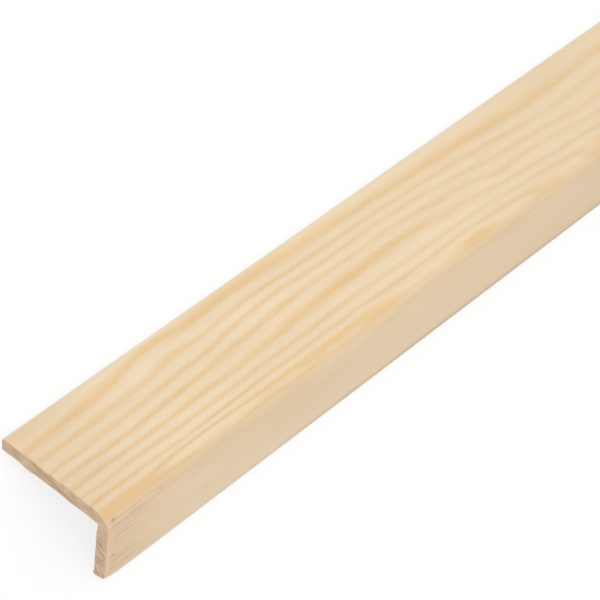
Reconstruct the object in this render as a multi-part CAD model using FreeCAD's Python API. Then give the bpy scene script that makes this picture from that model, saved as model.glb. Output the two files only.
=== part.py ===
import FreeCAD, Part

import math
import os

# A corner guard moulding: one strip of pine, moulded to an angle with a wide and a narrow leg.
# It covers an outside corner of a wall or panel, and its rounded nose takes the knocks.
# The section lies in the XZ plane and runs along Y, with both ends sawn square.
# It lies on the back arrises of its two free edges, with the nose on top.
# The origin is on the floor, under the middle of the strip. Sizes are in millimetres.

# Driving dimensions
LENGTH = 1000.0
WIDE_LEG = 40.0            # outside of the narrow leg to the wide leg's free edge
NARROW_LEG = 25.0          # outside of the wide leg to the narrow leg's free edge
WIDE_THICKNESS = 4.2
NARROW_THICKNESS = 4.0
NOSE_RADIUS = 5.0          # outside corner, where the two faces meet
EASE_RADIUS = 0.6          # the four arrises of the free edges, taken off so they don't splinter
CUTTER_RADIUS = 0.5        # inside corner, as the cutter leaves it
RELIEF_DEPTH = 0.4         # the narrow leg's back is cut in at the inside corner, so the legs seat
RELIEF_RUN = 4.0           # on a corner that isn't quite sharp, and runs out over this much of the leg
RELIEF_BLEND_RADIUS = 5.0  # where the relief meets the flat of the back


def section_corners():
    """Corners of the section and their radii, with the nose's sharp corner at the origin."""
    narrow_back = -NARROW_THICKNESS
    wide_back = -WIDE_THICKNESS
    return [
        (0.0, 0.0, NOSE_RADIUS),
        (0.0, -NARROW_LEG, EASE_RADIUS),
        (narrow_back, -NARROW_LEG, EASE_RADIUS),
        (narrow_back, wide_back - RELIEF_RUN, RELIEF_BLEND_RADIUS),
        (narrow_back + RELIEF_DEPTH, wide_back, CUTTER_RADIUS),
        (-WIDE_LEG, wide_back, EASE_RADIUS),
        (-WIDE_LEG, 0.0, EASE_RADIUS),
    ]


def corner_arc(before, corner, after, radius):
    """Arc of this radius, tangent to the two straight runs that meet at the corner."""
    towards_before = (before - corner).normalize()
    towards_after = (after - corner).normalize()
    half_angle = towards_before.getAngle(towards_after) / 2
    reach = radius / math.tan(half_angle)
    rise = radius / math.sin(half_angle) - radius
    bisector = (towards_before + towards_after).normalize()
    return Part.Arc(
        corner + towards_before * reach,
        corner + bisector * rise,
        corner + towards_after * reach,
    )


def rounded_wire(corners):
    """Closed wire in the XZ plane: straight runs joined by tangent arcs at the corners."""
    points = [FreeCAD.Vector(x, 0, z) for x, z, radius in corners]
    count = len(points)
    arcs = [
        corner_arc(points[i - 1], points[i], points[(i + 1) % count], corners[i][2])
        for i in range(count)
    ]
    edges = []
    for i, arc in enumerate(arcs):
        run = Part.LineSegment(arcs[i - 1].EndPoint, arc.StartPoint)
        edges += [run.toShape(), arc.toShape()]
    return Part.Wire(edges)


def rest_angle():
    """Tilt in degrees that brings the back arrises of the two free edges to one level."""
    drop = NARROW_LEG - WIDE_THICKNESS
    reach = WIDE_LEG - NARROW_THICKNESS
    return math.degrees(math.atan2(drop, reach))


def lay_on_floor(shape):
    """Turn the moulding onto its free edges and centre it over the origin, on the floor."""
    shape.rotate(FreeCAD.Vector(0, 0, 0), FreeCAD.Vector(0, 1, 0), -rest_angle())
    box = shape.optimalBoundingBox(False)
    shape.translate(FreeCAD.Vector(-box.Center.x, -box.Center.y, -box.ZMin))
    return shape


def corner_moulding():
    """The whole moulding: its section run along the length, lying on the floor."""
    section = Part.Face(rounded_wire(section_corners()))
    strip = section.extrude(FreeCAD.Vector(0, LENGTH, 0))
    return lay_on_floor(strip)


os.makedirs("parts", exist_ok=True)
corner_moulding().exportStep("parts/corner_moulding.step")
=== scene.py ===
import math

import bmesh
import bpy
from mathutils import Matrix, Quaternion, Vector, noise


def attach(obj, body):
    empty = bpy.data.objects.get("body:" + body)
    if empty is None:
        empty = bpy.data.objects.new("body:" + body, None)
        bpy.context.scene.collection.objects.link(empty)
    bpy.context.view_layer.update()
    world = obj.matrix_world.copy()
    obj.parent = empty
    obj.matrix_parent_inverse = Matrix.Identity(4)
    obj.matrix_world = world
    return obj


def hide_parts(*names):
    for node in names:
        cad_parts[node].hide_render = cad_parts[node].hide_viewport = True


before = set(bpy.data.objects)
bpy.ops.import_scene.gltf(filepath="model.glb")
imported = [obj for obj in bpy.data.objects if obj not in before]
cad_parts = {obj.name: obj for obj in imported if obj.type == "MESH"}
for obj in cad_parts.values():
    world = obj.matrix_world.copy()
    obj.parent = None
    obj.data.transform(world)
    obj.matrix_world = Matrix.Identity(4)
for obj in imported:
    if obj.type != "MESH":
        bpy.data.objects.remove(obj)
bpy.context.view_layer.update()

# A corner guard moulding of planed, unfinished pine, lying on a white studio floor.
# Its section is drawn in millimetres, with the sharp corner of the nose at the origin,
# the wide leg towards -X and the narrow leg towards -Z. It runs along +Y from the near sawn end.
# A pair named for a fade holds where it starts and where it is complete.

# The section, in the sizes of the solid
MM = 0.001
LENGTH = 1000.0
WIDE_LEG = 40.0
NARROW_LEG = 25.0
WIDE_THICKNESS = 4.2
NARROW_THICKNESS = 4.0
NOSE_RADIUS = 5.0
EASE_RADIUS = 0.6
CUTTER_RADIUS = 0.5
RELIEF_DEPTH = 0.4
RELIEF_RUN = 4.0
RELIEF_BLEND_RADIUS = 5.0

# How finely the surface is divided
FLAT_STEP = 0.5
ARC_STEP = math.radians(7.5)
FEWEST_ARC_STEPS = 4
FIRST_STATION_STEP = 0.25
STATION_GROWTH = 1.09
LONGEST_STATION_STEP = 14.0

# The sawn ends: a ragged bevel along the arris, and a burr that fades away from the end
BEVEL_LEAST = 0.06
BEVEL_RAGGED = 0.22
BEVEL_GRAIN = 1.6
BEVEL_FINE_GRAIN = BEVEL_GRAIN / 3
BEVEL_FINE_SHARE = 0.4
BEVEL_INSET = 0.6
BEVEL_REACH = 1.0
BURR_RAGGED = 0.1
BURR_GRAIN = 2.4
BURR_REACH = 3.0
NEAR_SEED = 3.0
FAR_SEED = 57.0
FINE_SEED_STEP = 9.0
BURR_SEED_STEP = 20.0
# Chips along the near end's top arris: place along X, depth, width
NEAR_CHIPS = [
    (-37.0, 0.1, 2.5),
    (-30.5, 0.45, 1.3),
    (-21.5, 0.2, 0.5),
    (-16.0, 0.2, 0.8),
    (-13.0, 0.3, 1.8),
]
TOP_ARRIS_DEPTH = 1.0
# Swells and hollows along the back of the wide leg's near end: place along X, height, width
NEAR_SWELLS = [
    (-35.5, -0.15, 2.0),
    (-29.8, 0.42, 1.6),
    (-18.0, -0.2, 1.4),
    (-13.5, 0.16, 1.6),
]
SWELL_MARGIN = 1.0
# Knocks at the near end of the narrow leg: centre, way it moves, width across, reach along the strip
NEAR_KNOCKS = [
    ((0.0, -NARROW_LEG), (-0.33, 0.66), 1.5, 2.2),
    ((-NARROW_THICKNESS, 0.5 - NARROW_LEG), (-0.42, 0.0), 0.5, 1.4),
]

# The two materials' places on the mesh
PLANED_SLOT = 0
SAWN_SLOT = 1

# The texture map, as shares of its side: two long strips, with the sawn ends beside them
MAP_MARGIN = 0.008
MAP_STRIP_WIDTH = 0.88
MAP_STRIP_HEIGHT = 0.48
MAP_STRIP_PITCH = 0.5
MAP_END_PITCH = 0.2
MAP_END_SCALE = 0.0036

# Growth rings of the log that the strip was cut from
PITH = (-68.7, 0.0, -115.2)
RING_SPACING = 1.611
RING_START = 0.74
RING_SEED = 3355775.0
PALE_PHASE = 0.35
# Swellings of the rings: place across and along the strip, spread both ways, height
SWELLINGS = [
    ((-25.0, 113.0), (6.0, 47.0), 1.75),
    ((-40.0, 42.5), (5.5, 21.0), 0.95),
    ((-40.5, 111.0), (4.2, 48.0), 1.45),
    ((-40.0, 212.0), (5.5, 35.0), 0.8),
    ((-6.3, 227.0), (15.5, 33.0), -2.2),
    ((-31.5, 87.0), (8.0, 13.5), 0.45),
    ((-18.0, 137.0), (3.2, 36.0), 0.8),
    ((-33.0, 54.5), (3.0, 7.0), 0.6),
    ((-16.5, 183.0), (3.0, 6.0), -0.4),
    ((-15.5, 207.0), (3.0, 9.0), 0.4),
    ((-26.0, 151.0), (2.5, 12.0), 0.3),
    ((-3.2, 43.5), (1.4, 16.0), 0.9),
    ((-4.5, 92.0), (2.5, 16.0), 0.2),
    ((-1.7, 88.0), (0.9, 18.0), 0.35),
    ((-2.8, 133.0), (2.3, 13.0), -0.4),
    ((-2.8, 157.5), (2.3, 5.0), 0.5),
    ((-2.8, 187.5), (2.3, 5.0), -0.65),
    ((-2.8, 201.0), (2.3, 4.5), -0.55),
    ((-2.8, 213.0), (2.3, 5.5), -1.15),
]
# The rings wander more and more along the strip, and flutter all along it: size of the noise, height
WANDER_FADE = (200.0, 300.0)
WANDER_SIZE = (22.0, 95.0, 22.0)
WANDER_HEIGHT = 5.0
FLUTTERS = [
    ((7.0, 28.0, 7.0), 0.6),
    ((0.5, 22.0, 0.5), 0.16),
    ((4.0, 11.0, 4.0), 0.42),
]

# Strength of the bands: the weakest ring, what others have more, blotches, and a gain on the nose
WEAKEST_RING = 0.3
RING_VARIETY = 0.7
BLOTCH_SIZE = (3.0, 30.0, 3.0)
BLOTCH_FADE = (0.3, 0.7)
BLOTCH_STRENGTHS = (0.75, 1.2)
NOSE_GAIN = 0.6
# Stretches where the late wood is broad and strong: place across and along the strip, spread, strength
STRONG_STRETCHES = [
    ((-32.7, 195.0), (2.4, 45.0), 0.45),
    ((-18.0, 112.0), (2.4, 34.0), 0.3),
]
STRONG_SHARE = 0.35
# Stretches along the strip where the grain is faint, and the wood dull: a fade in and a fade out
FAINT_STRETCH = ((100.0, 175.0), (420.0, 270.0))
FAINT_LOSS = 0.36
DULL_STRETCH = ((130.0, 215.0), (420.0, 270.0))
DULL_SHARE = 0.1

# The way round the nose is X less Z: below 0 on the wide leg's side, above 0 on the narrow leg's
NOSE_ACROSS_FADE = (-8.0, -4.5)
NOSE_AROUND_FADE = (1.4, -2.4)
NOSE_SHARE = 0.12
NARROW_AROUND_FADE = (-1.6, 2.4)
NARROW_SHARE = 0.76
# Painted shade where the nose turns towards the narrow face, deeper further along the strip
TURN_SHADE_FADES = ((-3.2, -0.6), (4.2, 2.2))
TURN_SHADE_ALONG_FADE = (80.0, 140.0)
TURN_SHADE_SHARES = (0.16, 0.3)

# Marks of the sawn ends on the planed faces: how far they reach along the strip, and their shares
END_DULL_FADE = (40.0, 0.0)
END_DULL_SHARE = 0.19
# A painted highlight along the narrow leg's rounded sawn arris, where it catches the light
ARRIS_HIGHLIGHT_FADE = (1.8, 0.6)
ARRIS_HIGHLIGHT_SHARE = 0.3
SIDE_AROUND_FADE = (1.2, 3.0)
TORN_SIZE = (4.0, 18.0, 0.42)
TORN_SHIFT = (0.0, 0.0, -0.9)
TORN_SHARE = 0.56
TORN_START_FADE = (0.8, 2.2)
TORN_REACH_FADE = (-8.0, -3.0)
TORN_REACHES = (20.0, 40.0)
TORN_EVERYWHERE_FADE = (-7.0, -4.0)
TORN_EVERYWHERE_SHARE = 0.12
# Lines of torn fibre below the nose, from the near end: place along Z, width, reach along the strip
TORN_LINES = [(-2.45, 0.22, 34.0), (-4.15, 0.26, 30.0)]
TORN_LINE_AROUND_FADE = (0.5, 1.6)
TORN_LINE_SHARE = 0.2

# Greyed outer arris of the wide leg's free edge, and painted shade along the narrow leg's rounded lower
# arris, which turns away from the light
WIDE_EDGE_ACROSS_FADE = (1.1 - WIDE_LEG, 0.4 - WIDE_LEG)
WIDE_EDGE_DOWN_FADE = (-2.0, -0.8)
WIDE_EDGE_SHARE = 0.5
NARROW_EDGE_DOWN_FADE = (3.0 - NARROW_LEG, 0.8 - NARROW_LEG)
NARROW_EDGE_ACROSS_FADE = (-2.5, -0.8)
NARROW_EDGE_ALONG_FADE = (20.0, 120.0)
NARROW_EDGE_SHADE_SHARE = 0.6

# Noise: how fine its detail is, how rough, its middle value, and where thin lines show in it
LEAST_DETAIL = 1.0
SOME_DETAIL = 2.0
MOST_DETAIL = 3.0
PLAIN_ROUGHNESS = 0.5
LINE_ROUGHNESS = 0.6
NOISE_MIDDLE = 0.5
LINE_FADE = (0.5, 0.6)

# Fine grain of the planed faces, and small dark specks on the narrow face
FIBRE_SIZE = (0.35, 24.0, 0.35)
FIBRE_TONES = [(0.25, (0.96, 0.95, 0.93, 1.0)), (0.75, (1.04, 1.04, 1.04, 1.0))]
PATCH_SIZE = (9.0, 55.0, 9.0)
PATCH_TONES = [(0.3, (0.97, 0.96, 0.93, 1.0)), (0.7, (1.02, 1.02, 1.03, 1.0))]
CANAL_SIZE = (0.22, 5.0, 0.22)
CANAL_FADE = (0.7, 0.8)
CANAL_SHARE = 0.35
SPECKS = [(-0.77, 2.8, -2.34), (0.0, 2.8, -16.0)]
SPECK_SIZE = (0.6, 0.5, 0.3)
SPECK_SHARE = 0.6

# End grain: lines of the rings, uneven tone, saw marks, pores, a sloping streak of painted shade and stains
# at the near end
LATE_FADES = ((0.55, 0.88), (1.0, 0.93))
LATE_SHARE = 0.4
RING_LINE_SIZE = (0.3, 17.0, 5.0)
RING_LINE_SHARE = 0.6
LEG_FADE = (-4.0, -10.0)
LEG_LINES = (0.4, 1.0)
TONE_SIZE = (4.0, 3.0, 2.5)
END_TONES = [(0.35, (0.86, 0.83, 0.81, 1.0)), (0.62, (1.04, 1.04, 1.04, 1.0))]
SAW_SIZE = (5.0, 1.0, 0.35)
SAW_TONES = [(0.3, (0.9, 0.89, 0.87, 1.0)), (0.7, (1.06, 1.06, 1.06, 1.0))]
PORE_SIZE = (0.16, 0.6, 0.16)
PORE_TONES = [(0.3, (0.92, 0.9, 0.88, 1.0)), (0.6, (1.03, 1.03, 1.03, 1.0))]
# A sloping streak of painted shade on the wide leg's near end
SHADE_STREAK_SLOPE = 0.22
SHADE_STREAK_PLACE = (-21.5, 0.0, -6.7)
SHADE_STREAK_SIZE = (4.5, 6.0, 0.55)
SHADE_STREAK_SHARE = 0.45
PINK_PLACE = (-2.0, 0.0, -7.0)
PINK_SIZE = (3.0, 6.0, 1.6)
PINK_SHARE = 0.45
TIP_PLACE = (1.4 - WIDE_LEG, 0.0, -0.3)
TIP_SIZE = (0.7, 0.7, 0.5)
TIP_SHARE = 0.6

# Gloss and relief
PLANED_GLOSS_FADE = (0.4, 0.95)
PLANED_ROUGHNESS = (0.62, 0.5)
PLANED_SPECULAR = 0.3
PLANED_RELIEF = 0.06 * MM
SAWN_GLOSS_FADE = (0.3, 0.7)
SAWN_ROUGHNESS = (0.88, 0.72)
SAWN_SPECULAR = 0.2
SAWN_RELIEF = 0.12 * MM
RELIEF_STRENGTH = 0.5

# Colours as they look on a screen, from 0 to 255. Those of a ring run from its start to its end.
RING_COLOURS = [
    (0.0, (229, 200, 160)),
    (0.08, (231, 207, 171)),
    (0.2, (234, 214, 182)),
    (0.5, (236, 216, 185)),
    (0.64, (235, 209, 168)),
    (0.78, (232, 199, 151)),
    (0.92, (229, 195, 146)),
    (1.0, (229, 199, 158)),
]
PLAIN_WOOD = (234, 213, 180)
STRONG_WOOD = (231, 197, 148)
NOSE_WOOD = (229, 192, 142)
NARROW_WOOD = (226, 203, 172)
# Painted shade on the turn of the nose
TURN_SHADE_COLOUR = (212, 179, 134)
END_DULL_WOOD = (206, 165, 128)
# Painted highlight on the narrow leg's rounded sawn arris
ARRIS_HIGHLIGHT = (236, 198, 164)
TORN_WOOD = (184, 150, 118)
DULL_WOOD = (198, 172, 138)
WIDE_EDGE_GREY = (224, 215, 202)
# Painted shade on the narrow leg's lower arris: paler near the near end, greyer further along
NARROW_EDGE_PALE = (220, 207, 192)
NARROW_EDGE_SHADE = (188, 173, 158)
RESIN = (196, 152, 104)
SPECK_BROWN = (160, 130, 88)
WIDE_END_WOOD = (221, 192, 162)
NARROW_END_WOOD = (226, 198, 172)
END_LINE_WOOD = (182, 143, 112)
# Painted shade of the sloping streak on the near end
SHADE_STREAK_BROWN = (166, 126, 92)
PINK_WOOD = (216, 186, 166)
TIP_WOOD = (230, 178, 138)

# The photograph's view, in section millimetres
CAMERA_PLACE = (321.5, -360.1, 561.0)
CAMERA_AIM = (-20.65, 98.12, 0.0)
CAMERA_ROLL = math.radians(7.41)
CAMERA_LENS = 169.1

# Studio light
WHITE = (1.0, 1.0, 1.0, 1.0)
SKY_STRENGTH = 0.66
SUN_STRENGTH = 1.25
SUN_SIZE = math.radians(80.0)
FLOOR_HALF = 14.0
FLOOR_WHITE = (0.96, 0.96, 0.96, 1.0)
FLOOR_GLOW = 0.8


# Section

def section_corners():
    """The sharp corners of the section in order, each with the radius that rounds it."""
    back_x = -NARROW_THICKNESS
    back_z = -WIDE_THICKNESS
    return [
        (Vector((0.0, 0.0)), NOSE_RADIUS),
        (Vector((0.0, -NARROW_LEG)), EASE_RADIUS),
        (Vector((back_x, -NARROW_LEG)), EASE_RADIUS),
        (Vector((back_x, back_z - RELIEF_RUN)), RELIEF_BLEND_RADIUS),
        (Vector((back_x + RELIEF_DEPTH, back_z)), CUTTER_RADIUS),
        (Vector((-WIDE_LEG, back_z)), EASE_RADIUS),
        (Vector((-WIDE_LEG, 0.0)), EASE_RADIUS),
    ]


def turned(arm, angle):
    """A flat vector turned by an angle."""
    c, s = math.cos(angle), math.sin(angle)
    return Vector((arm.x * c - arm.y * s, arm.x * s + arm.y * c))


def corner_arc(before, corner, after, radius):
    """Points of the arc that rounds a corner, from the side of the corner before it."""
    to_before = (before - corner).normalized()
    to_after = (after - corner).normalized()
    opening = to_before.angle(to_after)
    middle = (to_before + to_after).normalized()
    centre = corner + middle * (radius / math.sin(opening / 2))
    start = corner + to_before * (radius / math.tan(opening / 2)) - centre
    turn = math.pi - opening
    if to_before.x * to_after.y - to_before.y * to_after.x > 0:
        turn = -turn
    steps = max(FEWEST_ARC_STEPS, math.ceil(abs(turn) / ARC_STEP))
    return [centre + turned(start, turn * step / steps) for step in range(steps + 1)]


def section_outline():
    """Points round the section, with an arc at each corner and even steps along each flat."""
    corners, radii = zip(*section_corners())
    arcs = []
    for index, (corner, radius) in enumerate(zip(corners, radii)):
        after = corners[(index + 1) % len(corners)]
        arcs.append(corner_arc(corners[index - 1], corner, after, radius))
    outline = []
    for index, arc in enumerate(arcs):
        flat_end = arcs[(index + 1) % len(arcs)][0]
        flat = flat_end - arc[-1]
        steps = max(1, math.ceil(flat.length / FLAT_STEP))
        outline += arc
        outline += [arc[-1] + flat * (step / steps) for step in range(1, steps)]
    return outline


def outline_normals(outline):
    """The outward direction at each point of the outline."""
    normals = []
    for index in range(len(outline)):
        along = outline[(index + 1) % len(outline)] - outline[index - 1]
        normals.append(Vector((-along.y, along.x)).normalized())
    return normals


def outline_lengths(outline):
    """The distance round the outline at each point, and the whole way round."""
    lengths = [0.0]
    for index, point in enumerate(outline):
        step = outline[(index + 1) % len(outline)] - point
        lengths.append(lengths[-1] + step.length)
    return lengths


def lay_matrix(outline):
    """Lays the section on the back arrises of its free edges, in metres, with the origin under its middle."""
    rest_angle = math.atan2(NARROW_LEG - WIDE_THICKNESS, WIDE_LEG - NARROW_THICKNESS)
    tilt = Matrix.Rotation(-rest_angle, 4, "Y")
    laid = [tilt @ Vector((point.x, 0.0, point.y)) for point in outline]
    across = [point.x for point in laid]
    shift = Vector((-(min(across) + max(across)) / 2, -LENGTH / 2, -min(point.z for point in laid)))
    return Matrix.Translation(shift * MM) @ tilt @ Matrix.Scale(MM, 4)


# Mesh

def station_steps():
    """Distances from a sawn end to the middle of the strip: close together at the end, wide apart later."""
    distances = [0.0]
    step = FIRST_STATION_STEP
    while distances[-1] + step < LENGTH / 2:
        distances.append(distances[-1] + step)
        step = min(step * STATION_GROWTH, LONGEST_STATION_STEP)
    distances[-1] = LENGTH / 2
    return distances


def hump(offset, width):
    """A smooth hump that is 1 at its centre."""
    return math.exp(-0.5 * (offset / width) ** 2)


def humps(x, rows):
    """The sum of humps along X, each given as its place, height and width."""
    return sum(height * hump(x - place, width) for place, height, width in rows)


def ragged(point, grain, seed):
    """Noise round 0 at a point of the outline."""
    return noise.noise(Vector((point.x / grain, point.y / grain, seed)))


def bevel_depth(point, near):
    """How far along the strip the ragged bevel of a sawn end reaches at a point of the outline."""
    seed = NEAR_SEED if near else FAR_SEED
    grain = ragged(point, BEVEL_GRAIN, seed)
    fine = ragged(point, BEVEL_FINE_GRAIN, seed + FINE_SEED_STEP)
    depth = BEVEL_LEAST + BEVEL_RAGGED * max(0.0, grain + BEVEL_FINE_SHARE * fine)
    if near and point.y > -TOP_ARRIS_DEPTH:
        depth += humps(point.x, NEAR_CHIPS)
    return depth


def end_wear(point, normal, distance, near):
    """How far a point of the outline is moved by the saw and by knocks, this far from a sawn end."""
    seed = NEAR_SEED if near else FAR_SEED
    move = normal * (BURR_RAGGED * ragged(point, BURR_GRAIN, seed + BURR_SEED_STEP))
    on_back = point.y < -WIDE_THICKNESS / 2
    if near and on_back and SWELL_MARGIN - WIDE_LEG < point.x < -NARROW_THICKNESS:
        move += normal * humps(point.x, NEAR_SWELLS)
    move = move * math.exp(-distance / BURR_REACH)
    if near:
        for centre, way, width, reach in NEAR_KNOCKS:
            away = (point - Vector(centre)).length
            move += Vector(way) * (hump(away, width) * math.exp(-distance / reach))
    return move


def strip_vertex(mesh, point, distance, near, lay):
    """A vertex at a point of the section, this far from a sawn end and not below the floor."""
    along = distance if near else LENGTH - distance
    place = lay @ Vector((point.x, along, point.y))
    place.z = max(place.z, 0.0)
    return mesh.verts.new(place)


def half_rings(mesh, outline, normals, near, lay):
    """Rings of vertices from a sawn end to the middle, the first one inset on the sawn face."""
    depths = [bevel_depth(point, near) for point in outline]
    sawn = []
    for point, normal, depth in zip(outline, normals, depths):
        inset = point + end_wear(point, normal, 0.0, near) - normal * (BEVEL_INSET * depth)
        sawn.append(strip_vertex(mesh, inset, 0.0, near, lay))
    rings = [sawn]
    for distance in station_steps():
        ring = []
        for point, normal, depth in zip(outline, normals, depths):
            worn = point + end_wear(point, normal, distance, near)
            beyond = distance + depth * math.exp(-distance / BEVEL_REACH)
            ring.append(strip_vertex(mesh, worn, beyond, near, lay))
        rings.append(ring)
    return rings


def moulding_mesh(outline, lay):
    """The whole strip as one closed mesh of planed faces, sawn ends and their bevels."""
    mesh = bmesh.new()
    normals = outline_normals(outline)
    near = half_rings(mesh, outline, normals, True, lay)
    far = half_rings(mesh, outline, normals, False, lay)
    for vertex in far.pop():
        mesh.verts.remove(vertex)
    rings = near + far[::-1]
    count = len(outline)
    for number in range(len(rings) - 1):
        first, second = rings[number], rings[number + 1]
        bevel = number in (0, len(rings) - 2)
        for index in range(count):
            after = (index + 1) % count
            face = mesh.faces.new((first[index], first[after], second[after], second[index]))
            face.smooth = True
            face.material_index = SAWN_SLOT if bevel else PLANED_SLOT
    mesh.faces.new(rings[0][::-1]).material_index = SAWN_SLOT
    mesh.faces.new(rings[-1]).material_index = SAWN_SLOT
    for ring in (rings[0], rings[1], rings[-2], rings[-1]):
        for index in range(count):
            mesh.edges.get((ring[index], ring[(index + 1) % count])).smooth = False
    bmesh.ops.recalc_face_normals(mesh, faces=mesh.faces)
    return mesh


def map_sawn_end(face, layer, back, half):
    """Puts a sawn end beside the strips of the texture map."""
    for loop in face.loops:
        local = back @ loop.vert.co
        u = 1.0 - MAP_MARGIN + local.z * MAP_END_SCALE
        v = MAP_MARGIN + half * MAP_END_PITCH + (local.x + WIDE_LEG) * MAP_END_SCALE
        loop[layer].uv = (u, v)


def map_strip_face(face, layer, back, half, indices, lengths):
    """Puts a face of one half of the length in its strip of the texture map."""
    wraps = max(indices) - min(indices) > 1
    for loop, index in zip(face.loops, indices):
        around = lengths[-1] if wraps and index == 0 else lengths[index]
        along = (back @ loop.vert.co).y - half * LENGTH / 2
        u = MAP_MARGIN + along / (LENGTH / 2) * MAP_STRIP_WIDTH
        v = MAP_MARGIN + half * MAP_STRIP_PITCH + around / lengths[-1] * MAP_STRIP_HEIGHT
        loop[layer].uv = (u, v)


def bake_map(mesh, outline, lay):
    """A texture map in two long strips, one for each half of the length, with the sawn ends beside them."""
    layer = mesh.loops.layers.uv.new("OFBake")
    back = lay.inverted()
    lengths = outline_lengths(outline)
    count = len(outline)
    mesh.verts.index_update()
    place = {vertex: index % count for index, vertex in enumerate(mesh.verts)}
    for face in mesh.faces:
        half = 1 if (back @ face.calc_center_median()).y > LENGTH / 2 else 0
        if len(face.verts) == count:
            map_sawn_end(face, layer, back, half)
        else:
            indices = [place[vertex] for vertex in face.verts]
            map_strip_face(face, layer, back, half, indices, lengths)


# Material nodes

def linear(colour):
    """A colour given as it looks on a screen, from 0 to 255, as a shader takes it."""
    shares = [value / 255 for value in colour]
    return tuple(((s + 0.055) / 1.055) ** 2.4 if s > 0.04045 else s / 12.92 for s in shares) + (1.0,)


def add_node(tree, kind, inputs=None, **settings):
    """A node with its settings, and its inputs set to values or linked to other nodes' outputs."""
    node = tree.nodes.new(kind)
    for name, value in settings.items():
        setattr(node, name, value)
    for name, value in (inputs or {}).items():
        if isinstance(value, bpy.types.NodeSocket):
            tree.links.new(value, node.inputs[name])
        else:
            node.inputs[name].default_value = value
    return node


def calculate(tree, operation, first, second=0.0, third=0.0):
    """The result of one calculation on numbers."""
    inputs = {0: first, 1: second, 2: third}
    return add_node(tree, "ShaderNodeMath", inputs, operation=operation).outputs[0]


def product(tree, first, second):
    """Two numbers multiplied."""
    return calculate(tree, "MULTIPLY", first, second)


def plus_share(tree, base, value, share):
    """A number with a share of another one added."""
    return calculate(tree, "MULTIPLY_ADD", value, share, base)


def combine(tree, operation, first, second):
    """The results of one calculation on vectors."""
    inputs = {0: first, 1: second}
    return add_node(tree, "ShaderNodeVectorMath", inputs, operation=operation).outputs


def split(tree, vector):
    """The three numbers of a vector, by the names of the axes."""
    return add_node(tree, "ShaderNodeSeparateXYZ", {0: vector}).outputs


def join(tree, x, y, z):
    """A vector of three numbers."""
    return add_node(tree, "ShaderNodeCombineXYZ", {"X": x, "Y": y, "Z": z}).outputs["Vector"]


def fade(tree, value, places, levels=(0.0, 1.0)):
    """A smooth change between two levels as a value goes from one place to another."""
    inputs = {
        "Value": value,
        "From Min": places[0],
        "From Max": places[1],
        "To Min": levels[0],
        "To Max": levels[1],
    }
    node = add_node(tree, "ShaderNodeMapRange", inputs, interpolation_type="SMOOTHSTEP")
    return node.outputs["Result"]


def fade_in_and_out(tree, value, fades):
    """A number that is 1 between a fade in and a fade out."""
    return product(tree, fade(tree, value, fades[0]), fade(tree, value, fades[1]))


def grain_noise(tree, position, sizes, detail=SOME_DETAIL, roughness=PLAIN_ROUGHNESS):
    """Noise with its own size along each axis of the section, in millimetres."""
    scaled = combine(tree, "DIVIDE", position, sizes)["Vector"]
    inputs = {"Vector": scaled, "Scale": 1.0, "Detail": detail, "Roughness": roughness}
    return add_node(tree, "ShaderNodeTexNoise", inputs).outputs["Fac"]


def swing(tree, position, sizes, detail=SOME_DETAIL):
    """The same noise with its middle at 0."""
    return calculate(tree, "SUBTRACT", grain_noise(tree, position, sizes, detail), NOISE_MIDDLE)


def ramp(tree, value, stops):
    """A colour picked along a row of stops."""
    node = add_node(tree, "ShaderNodeValToRGB", {"Fac": value})
    elements = node.color_ramp.elements
    while len(elements) < len(stops):
        elements.new(0.5)
    for element, (place, colour) in zip(elements, stops):
        element.position = place
        element.color = colour
    return node.outputs["Color"]


def mixed(tree, factor, first, second, blend="MIX"):
    """Two colours mixed by a factor."""
    node = add_node(tree, "ShaderNodeMix", data_type="RGBA", blend_type=blend)
    for name, value in (("Factor_Float", factor), ("A_Color", first), ("B_Color", second)):
        socket = next(socket for socket in node.inputs if socket.identifier == name)
        if isinstance(value, bpy.types.NodeSocket):
            tree.links.new(value, socket)
        else:
            socket.default_value = value
    return next(socket for socket in node.outputs if socket.identifier == "Result_Color")


def tinted(tree, colour, mask, share, tint):
    """A colour with a share of another one where a mask is 1."""
    return mixed(tree, product(tree, mask, share), colour, linear(tint))


def toned(tree, colour, pattern, tones):
    """A colour made darker and lighter by a pattern."""
    return mixed(tree, 1.0, colour, ramp(tree, pattern, tones), "MULTIPLY")


def spot(tree, position, centre, spread):
    """A smooth spot that is 1 at its centre and fades over its spread. A spread of 0 leaves an axis out."""
    offset = combine(tree, "SUBTRACT", position, centre)["Vector"]
    scaled = combine(tree, "MULTIPLY", offset, [1 / size if size else 0.0 for size in spread])["Vector"]
    square = combine(tree, "DOT_PRODUCT", scaled, scaled)["Value"]
    return calculate(tree, "EXPONENT", product(tree, square, -0.5))


def spot_on_face(tree, position, place, spread):
    """A smooth spot by its place and spread across and along the strip, at any height."""
    return spot(tree, position, (*place, 0.0), (*spread, 0.0))


def section_position(tree, lay):
    """The shaded point in section millimetres."""
    place, turn, scale = lay.decompose()
    inputs = {
        "Vector": add_node(tree, "ShaderNodeTexCoord").outputs["Object"],
        "Location": place,
        "Rotation": turn.to_euler(),
        "Scale": scale,
    }
    return add_node(tree, "ShaderNodeMapping", inputs, vector_type="TEXTURE").outputs["Vector"]


def new_material(name):
    """An empty node material and its shader node."""
    material = bpy.data.materials.new(name)
    material.use_nodes = True
    tree = material.node_tree
    tree.nodes.clear()
    shader = add_node(tree, "ShaderNodeBsdfPrincipled")
    add_node(tree, "ShaderNodeOutputMaterial", {"Surface": shader.outputs["BSDF"]})
    return material, tree, shader


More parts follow.
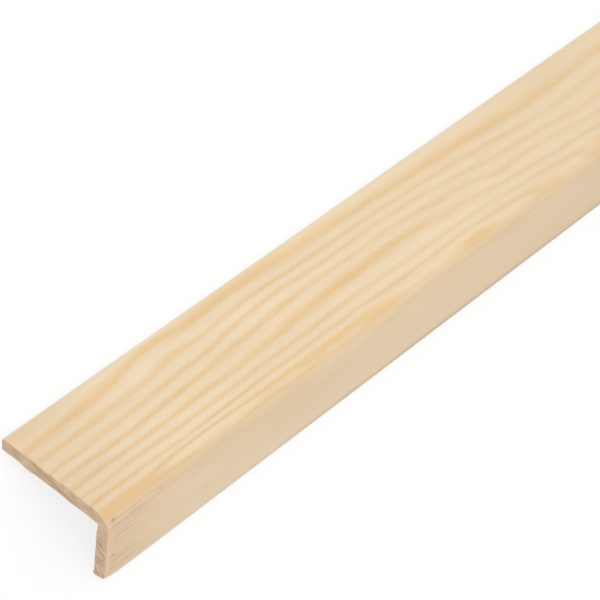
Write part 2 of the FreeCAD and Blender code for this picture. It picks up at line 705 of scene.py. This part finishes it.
def set_surface(tree, shader, colour, roughness, specular, height, relief):
    """Gives a shader its colour, gloss and fine relief."""
    tree.links.new(colour, shader.inputs["Base Color"])
    tree.links.new(roughness, shader.inputs["Roughness"])
    shader.inputs["Specular IOR Level"].default_value = specular
    bump = {"Height": height, "Distance": relief, "Strength": RELIEF_STRENGTH}
    tree.links.new(add_node(tree, "ShaderNodeBump", bump).outputs["Normal"], shader.inputs["Normal"])


# Growth rings

def ring_count(tree, position):
    """How many growth rings lie between the pith and the shaded point."""
    offset = combine(tree, "SUBTRACT", position, PITH)["Vector"]
    across = combine(tree, "MULTIPLY", offset, (1.0, 0.0, 1.0))["Vector"]
    radius = add_node(tree, "ShaderNodeVectorMath", {0: across}, operation="LENGTH").outputs["Value"]
    for place, spread, height in SWELLINGS:
        radius = plus_share(tree, radius, spot_on_face(tree, position, place, spread), height)
    free = fade(tree, split(tree, position)["Y"], WANDER_FADE, (0.0, WANDER_HEIGHT))
    radius = plus_share(tree, radius, swing(tree, position, WANDER_SIZE, LEAST_DETAIL), free)
    for sizes, height in FLUTTERS:
        radius = plus_share(tree, radius, swing(tree, position, sizes), height)
    return calculate(tree, "ADD", calculate(tree, "DIVIDE", radius, RING_SPACING), RING_START)


def ring_strength(tree, rings):
    """A number from 0 to 1 of its own for each ring, which changes where the rings are palest."""
    whole = calculate(tree, "FLOOR", calculate(tree, "SUBTRACT", rings, PALE_PHASE))
    whole = calculate(tree, "ADD", whole, RING_SEED)
    node = add_node(tree, "ShaderNodeTexWhiteNoise", {"W": whole}, noise_dimensions="1D")
    return node.outputs["Value"]


def ring_lines(tree, axes, rings):
    """Thin uneven lines that follow the rings."""
    grain = join(tree, rings, axes["Y"], axes["X"])
    lines = grain_noise(tree, grain, RING_LINE_SIZE, SOME_DETAIL, LINE_ROUGHNESS)
    return fade(tree, lines, LINE_FADE)


def ring_bands(tree, position, axes, rings, phase, nose):
    """Pale early wood and amber late wood, stronger in some rings and stretches than in others."""
    bands = ramp(tree, phase, [(place, linear(colour)) for place, colour in RING_COLOURS])
    blotches = fade(tree, grain_noise(tree, position, BLOTCH_SIZE), BLOTCH_FADE, BLOTCH_STRENGTHS)
    strength = plus_share(tree, WEAKEST_RING, ring_strength(tree, rings), RING_VARIETY)
    strength = product(tree, strength, blotches)
    faint = fade_in_and_out(tree, axes["Y"], FAINT_STRETCH)
    strength = product(tree, strength, plus_share(tree, 1.0, faint, -FAINT_LOSS))
    for place, spread, height in STRONG_STRETCHES:
        strong = spot_on_face(tree, position, place, spread)
        strength = plus_share(tree, strength, strong, height)
        bands = tinted(tree, bands, strong, STRONG_SHARE, STRONG_WOOD)
    strength = plus_share(tree, strength, product(tree, strength, nose), NOSE_GAIN)
    return mixed(tree, strength, linear(PLAIN_WOOD), bands)


# Materials

def nose_and_narrow_face(tree, colour, axes, around, nose):
    """An amber nose, a plainer narrow face, and painted shade on the turn between the two, deeper further
    along the strip.
    """
    colour = tinted(tree, colour, nose, NOSE_SHARE, NOSE_WOOD)
    colour = tinted(tree, colour, fade(tree, around, NARROW_AROUND_FADE), NARROW_SHARE, NARROW_WOOD)
    # Painted shade on the turn of the nose, with a larger share further along the strip
    turn = fade_in_and_out(tree, around, TURN_SHADE_FADES)
    return tinted(tree, colour, turn, fade(tree, axes["Y"], TURN_SHADE_ALONG_FADE, TURN_SHADE_SHARES), TURN_SHADE_COLOUR)


def darker_ends_and_arris_highlight(tree, colour, from_end, side):
    """Darker wood towards the sawn ends, with a painted highlight along the narrow leg's rounded sawn arris.
    """
    colour = tinted(tree, colour, fade(tree, from_end, END_DULL_FADE), END_DULL_SHARE, END_DULL_WOOD)
    # Painted highlight where the narrow leg's rounded sawn arris catches the light
    arris_highlight = product(tree, side, fade(tree, from_end, ARRIS_HIGHLIGHT_FADE))
    return tinted(tree, colour, arris_highlight, ARRIS_HIGHLIGHT_SHARE, ARRIS_HIGHLIGHT)


def torn_fibre(tree, colour, position, axes, around, from_end, side):
    """Fine dark lines on the narrow leg: many short ones at the ends, and a few long ones below the nose."""
    reach = fade(tree, axes["Z"], TORN_REACH_FADE, TORN_REACHES)
    torn = fade(tree, from_end, (0.0, reach), (TORN_SHARE, 0.0))
    torn = product(tree, torn, fade(tree, from_end, TORN_START_FADE))
    everywhere = fade(tree, axes["Z"], TORN_EVERYWHERE_FADE, (0.0, TORN_EVERYWHERE_SHARE))
    torn = product(tree, calculate(tree, "MAXIMUM", torn, everywhere), side)
    place = combine(tree, "ADD", position, TORN_SHIFT)["Vector"]
    lines = fade(tree, grain_noise(tree, place, TORN_SIZE, SOME_DETAIL, LINE_ROUGHNESS), LINE_FADE)
    colour = tinted(tree, colour, torn, lines, TORN_WOOD)
    below = fade(tree, around, TORN_LINE_AROUND_FADE)
    for height, width, length in TORN_LINES:
        line = spot(tree, position, (0.0, 0.0, height), (0.0, length, width))
        colour = tinted(tree, colour, product(tree, line, below), TORN_LINE_SHARE, TORN_WOOD)
    return colour


def greyed_and_shaded_arrises(tree, colour, axes):
    """Greyed wood along the wide leg's outer free arris, and painted shade along the narrow leg's rounded
    lower arris.
    """
    edge = fade(tree, axes["X"], WIDE_EDGE_ACROSS_FADE)
    edge = product(tree, edge, fade(tree, axes["Z"], WIDE_EDGE_DOWN_FADE))
    colour = tinted(tree, colour, edge, WIDE_EDGE_SHARE, WIDE_EDGE_GREY)
    # Painted shade along the narrow leg's rounded lower arris, which turns away from the light
    edge = fade(tree, axes["Z"], NARROW_EDGE_DOWN_FADE)
    edge = product(tree, edge, fade(tree, axes["X"], NARROW_EDGE_ACROSS_FADE))
    along = fade(tree, axes["Y"], NARROW_EDGE_ALONG_FADE)
    edge_shade = mixed(tree, along, linear(NARROW_EDGE_PALE), linear(NARROW_EDGE_SHADE))
    return mixed(tree, product(tree, edge, NARROW_EDGE_SHADE_SHARE), colour, edge_shade)


def planed_pine(lay):
    """Planed pine: growth rings, dull and torn ends, greyed arrises, painted shade on the nose's turn and the
    narrow leg's lower arris, a painted highlight on the narrow leg's sawn arris, fibres, resin canals and a
    few specks.
    """
    material, tree, shader = new_material("planed_pine")
    position = section_position(tree, lay)
    axes = split(tree, position)
    around = calculate(tree, "SUBTRACT", axes["X"], axes["Z"])
    from_end = calculate(tree, "MINIMUM", axes["Y"], calculate(tree, "SUBTRACT", LENGTH, axes["Y"]))
    side = fade(tree, around, SIDE_AROUND_FADE)
    nose = product(tree, fade(tree, axes["X"], NOSE_ACROSS_FADE), fade(tree, around, NOSE_AROUND_FADE))
    rings = ring_count(tree, position)
    phase = calculate(tree, "FRACT", rings)
    colour = ring_bands(tree, position, axes, rings, phase, nose)
    colour = nose_and_narrow_face(tree, colour, axes, around, nose)
    colour = darker_ends_and_arris_highlight(tree, colour, from_end, side)
    colour = torn_fibre(tree, colour, position, axes, around, from_end, side)
    colour = greyed_and_shaded_arrises(tree, colour, axes)
    fibres = grain_noise(tree, position, FIBRE_SIZE, MOST_DETAIL)
    colour = toned(tree, colour, fibres, FIBRE_TONES)
    colour = toned(tree, colour, grain_noise(tree, position, PATCH_SIZE), PATCH_TONES)
    colour = tinted(tree, colour, fade_in_and_out(tree, axes["Y"], DULL_STRETCH), DULL_SHARE, DULL_WOOD)
    canals = fade(tree, grain_noise(tree, position, CANAL_SIZE, LEAST_DETAIL), CANAL_FADE)
    colour = tinted(tree, colour, canals, CANAL_SHARE, RESIN)
    for centre in SPECKS:
        colour = tinted(tree, colour, spot(tree, position, centre, SPECK_SIZE), SPECK_SHARE, SPECK_BROWN)
    roughness = fade(tree, phase, PLANED_GLOSS_FADE, PLANED_ROUGHNESS)
    height = plus_share(tree, fibres, canals, -1.0)
    set_surface(tree, shader, colour, roughness, PLANED_SPECULAR, height, PLANED_RELIEF)
    return material


def end_grain(tree, axes, rings):
    """The rings cut across: pale wood and darker lines, fainter on the wide leg."""
    phase = calculate(tree, "FRACT", rings)
    late = product(tree, fade_in_and_out(tree, phase, LATE_FADES), ring_strength(tree, rings))
    lines = product(tree, ring_lines(tree, axes, rings), RING_LINE_SHARE)
    lines = plus_share(tree, lines, late, LATE_SHARE)
    lines = product(tree, lines, fade(tree, axes["Z"], LEG_FADE, LEG_LINES))
    pale = mixed(tree, fade(tree, axes["Z"], LEG_FADE), linear(WIDE_END_WOOD), linear(NARROW_END_WOOD))
    return mixed(tree, lines, pale, linear(END_LINE_WOOD))


def end_shade_streak_and_stains(tree, colour, position, axes):
    """A sloping brown streak of painted shade, a pink patch and an orange tip on the near end."""
    # Painted shade: a sloping dark streak across the wide leg's end
    slope = plus_share(tree, axes["Z"], axes["X"], SHADE_STREAK_SLOPE)
    shade_streak = spot(tree, join(tree, axes["X"], axes["Y"], slope), SHADE_STREAK_PLACE, SHADE_STREAK_SIZE)
    colour = tinted(tree, colour, shade_streak, SHADE_STREAK_SHARE, SHADE_STREAK_BROWN)
    colour = tinted(tree, colour, spot(tree, position, PINK_PLACE, PINK_SIZE), PINK_SHARE, PINK_WOOD)
    return tinted(tree, colour, spot(tree, position, TIP_PLACE, TIP_SIZE), TIP_SHARE, TIP_WOOD)


def sawn_pine(lay):
    """Sawn end grain: the rings cut across, uneven tone, open pores, the marks of the saw, and at the near
    end painted shade and stains.
    """
    material, tree, shader = new_material("sawn_pine")
    position = section_position(tree, lay)
    axes = split(tree, position)
    colour = end_grain(tree, axes, ring_count(tree, position))
    colour = toned(tree, colour, grain_noise(tree, position, TONE_SIZE), END_TONES)
    saw = grain_noise(tree, position, SAW_SIZE)
    colour = toned(tree, colour, saw, SAW_TONES)
    colour = end_shade_streak_and_stains(tree, colour, position, axes)
    pores = grain_noise(tree, position, PORE_SIZE)
    colour = toned(tree, colour, pores, PORE_TONES)
    roughness = fade(tree, pores, SAWN_GLOSS_FADE, SAWN_ROUGHNESS)
    height = calculate(tree, "ADD", saw, pores)
    set_surface(tree, shader, colour, roughness, SAWN_SPECULAR, height, SAWN_RELIEF)
    return material


def seen_as_background(tree):
    """1 for what is seen, straight, in a reflection or through glass, and 0 for light on the object."""
    rays = add_node(tree, "ShaderNodeLightPath").outputs
    seen = calculate(tree, "MAXIMUM", rays["Is Camera Ray"], rays["Is Glossy Ray"])
    return calculate(tree, "MAXIMUM", seen, rays["Is Transmission Ray"])


def studio_white():
    """The floor's matt white. It is seen partly as plain background, so its shadow stays light."""
    material, tree, shader = new_material("studio_white")
    shader.inputs["Base Color"].default_value = FLOOR_WHITE
    shader.inputs["Roughness"].default_value = 1.0
    shader.inputs["Specular IOR Level"].default_value = 0.0
    seen = product(tree, seen_as_background(tree), FLOOR_GLOW)
    plain = add_node(tree, "ShaderNodeEmission", {"Color": WHITE, "Strength": 1.0})
    inputs = {0: seen, 1: shader.outputs["BSDF"], 2: plain.outputs[0]}
    mix = add_node(tree, "ShaderNodeMixShader", inputs)
    output = next(node for node in tree.nodes if node.type == "OUTPUT_MATERIAL")
    tree.links.new(mix.outputs[0], output.inputs["Surface"])
    return material


# Scene

def add_object(name, mesh, materials):
    """A mesh made into an object of the scene."""
    data = bpy.data.meshes.new(name)
    mesh.to_mesh(data)
    mesh.free()
    for material in materials:
        data.materials.append(material)
    made = bpy.data.objects.new(name, data)
    bpy.context.scene.collection.objects.link(made)
    return made


def add_moulding(outline, lay):
    """The strip itself, in place of the plain solid."""
    mesh = moulding_mesh(outline, lay)
    bake_map(mesh, outline, lay)
    strip = add_object("pine_corner_moulding", mesh, [planed_pine(lay), sawn_pine(lay)])
    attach(strip, "root")
    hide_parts("corner_moulding")


def add_floor():
    """A wide flat floor."""
    mesh = bmesh.new()
    bmesh.ops.create_grid(mesh, x_segments=1, y_segments=1, size=FLOOR_HALF)
    add_object("floor", mesh, [studio_white()])


def add_sky():
    """Even light from all round, which looks white to the camera and in reflections."""
    world = bpy.data.worlds.new("studio_sky")
    world.use_nodes = True
    tree = world.node_tree
    tree.nodes.clear()
    lit = add_node(tree, "ShaderNodeBackground", {"Color": WHITE, "Strength": SKY_STRENGTH})
    plain = add_node(tree, "ShaderNodeBackground", {"Color": WHITE, "Strength": 1.0})
    inputs = {0: seen_as_background(tree), 1: lit.outputs[0], 2: plain.outputs[0]}
    mix = add_node(tree, "ShaderNodeMixShader", inputs)
    add_node(tree, "ShaderNodeOutputWorld", {"Surface": mix.outputs[0]})
    bpy.context.scene.world = world


def add_sun():
    """One large soft lamp overhead."""
    lamp = bpy.data.lights.new("soft_sun", "SUN")
    lamp.energy = SUN_STRENGTH
    lamp.angle = SUN_SIZE
    bpy.context.scene.collection.objects.link(bpy.data.objects.new("soft_sun", lamp))


def add_camera(lay):
    """The camera at the photograph's view, laid with the section."""
    settings = bpy.data.cameras.new("camera")
    settings.lens = CAMERA_LENS
    camera = bpy.data.objects.new("camera", settings)
    place = Vector(CAMERA_PLACE)
    look = (Vector(CAMERA_AIM) - place).to_track_quat("-Z", "Y")
    turn = lay.to_quaternion() @ look @ Quaternion((0.0, 0.0, 1.0), CAMERA_ROLL)
    camera.matrix_world = Matrix.Translation(lay @ place) @ turn.to_matrix().to_4x4()
    bpy.context.scene.collection.objects.link(camera)
    bpy.context.scene.camera = camera


outline = section_outline()
lay = lay_matrix(outline)
add_moulding(outline, lay)
add_floor()
add_sky()
add_sun()
add_camera(lay)
bpy.context.scene.view_settings.view_transform = "Standard"
